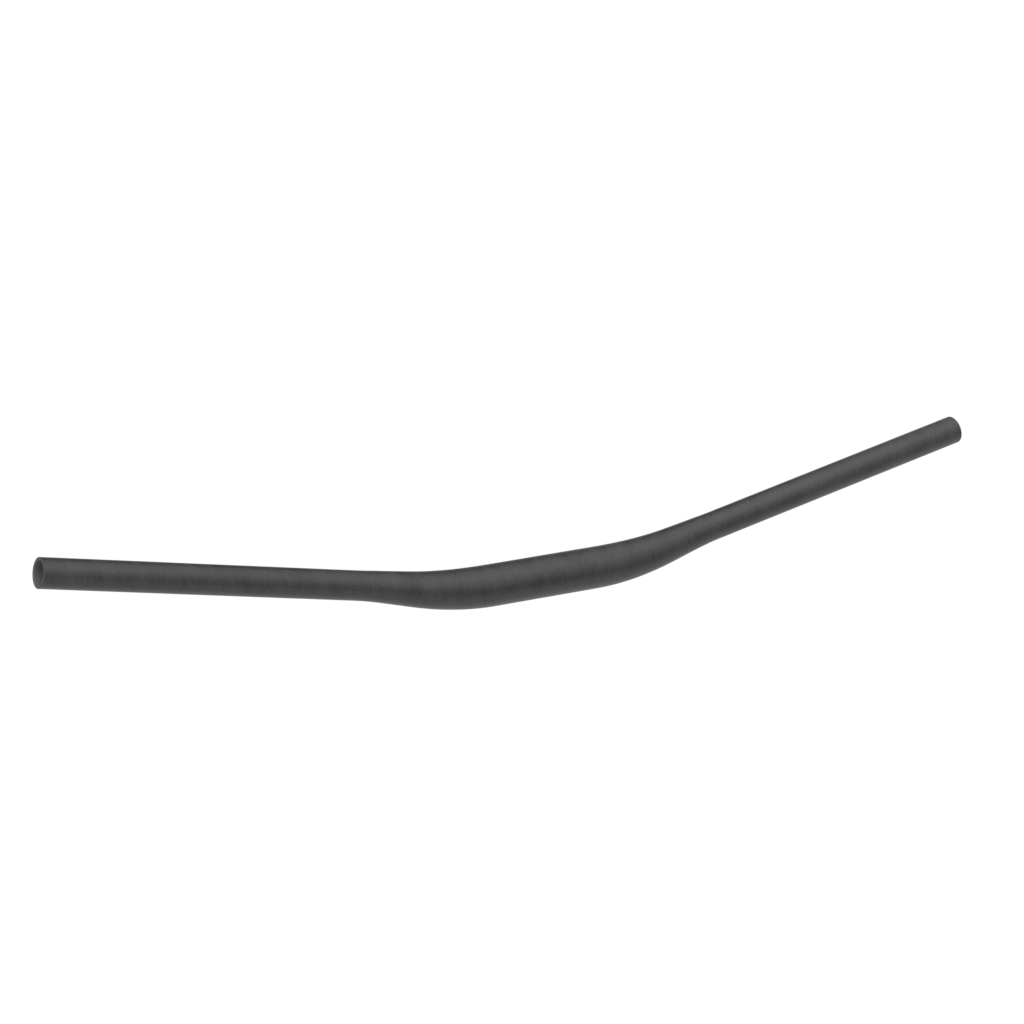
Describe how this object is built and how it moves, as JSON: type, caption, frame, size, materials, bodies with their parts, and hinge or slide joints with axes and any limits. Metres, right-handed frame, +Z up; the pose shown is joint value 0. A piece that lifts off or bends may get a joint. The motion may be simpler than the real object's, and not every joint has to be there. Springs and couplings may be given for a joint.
{
  "type": "riser handlebar",
  "caption": "Riser handlebar: a moulded tube, fat where the stem clamps it, that bends back and up to each side and tapers to straight, open grip ends.",
  "frame": {"origin": "middle of the stem clamp, on the clamp axis", "axes": "+X along the clamp axis to the rider's left, +Y back towards the rider, +Z up, with the bar at its nominal roll in the stem; left and right in the mounts' names are the rider's"},
  "size_m": [0.804, 0.0793, 0.0588],
  "materials": {
    "bar_finish": "matte"
  },
  "bodies": {
    "root": {"handlebar": "bar_finish"}
  },
  "joints": []
}
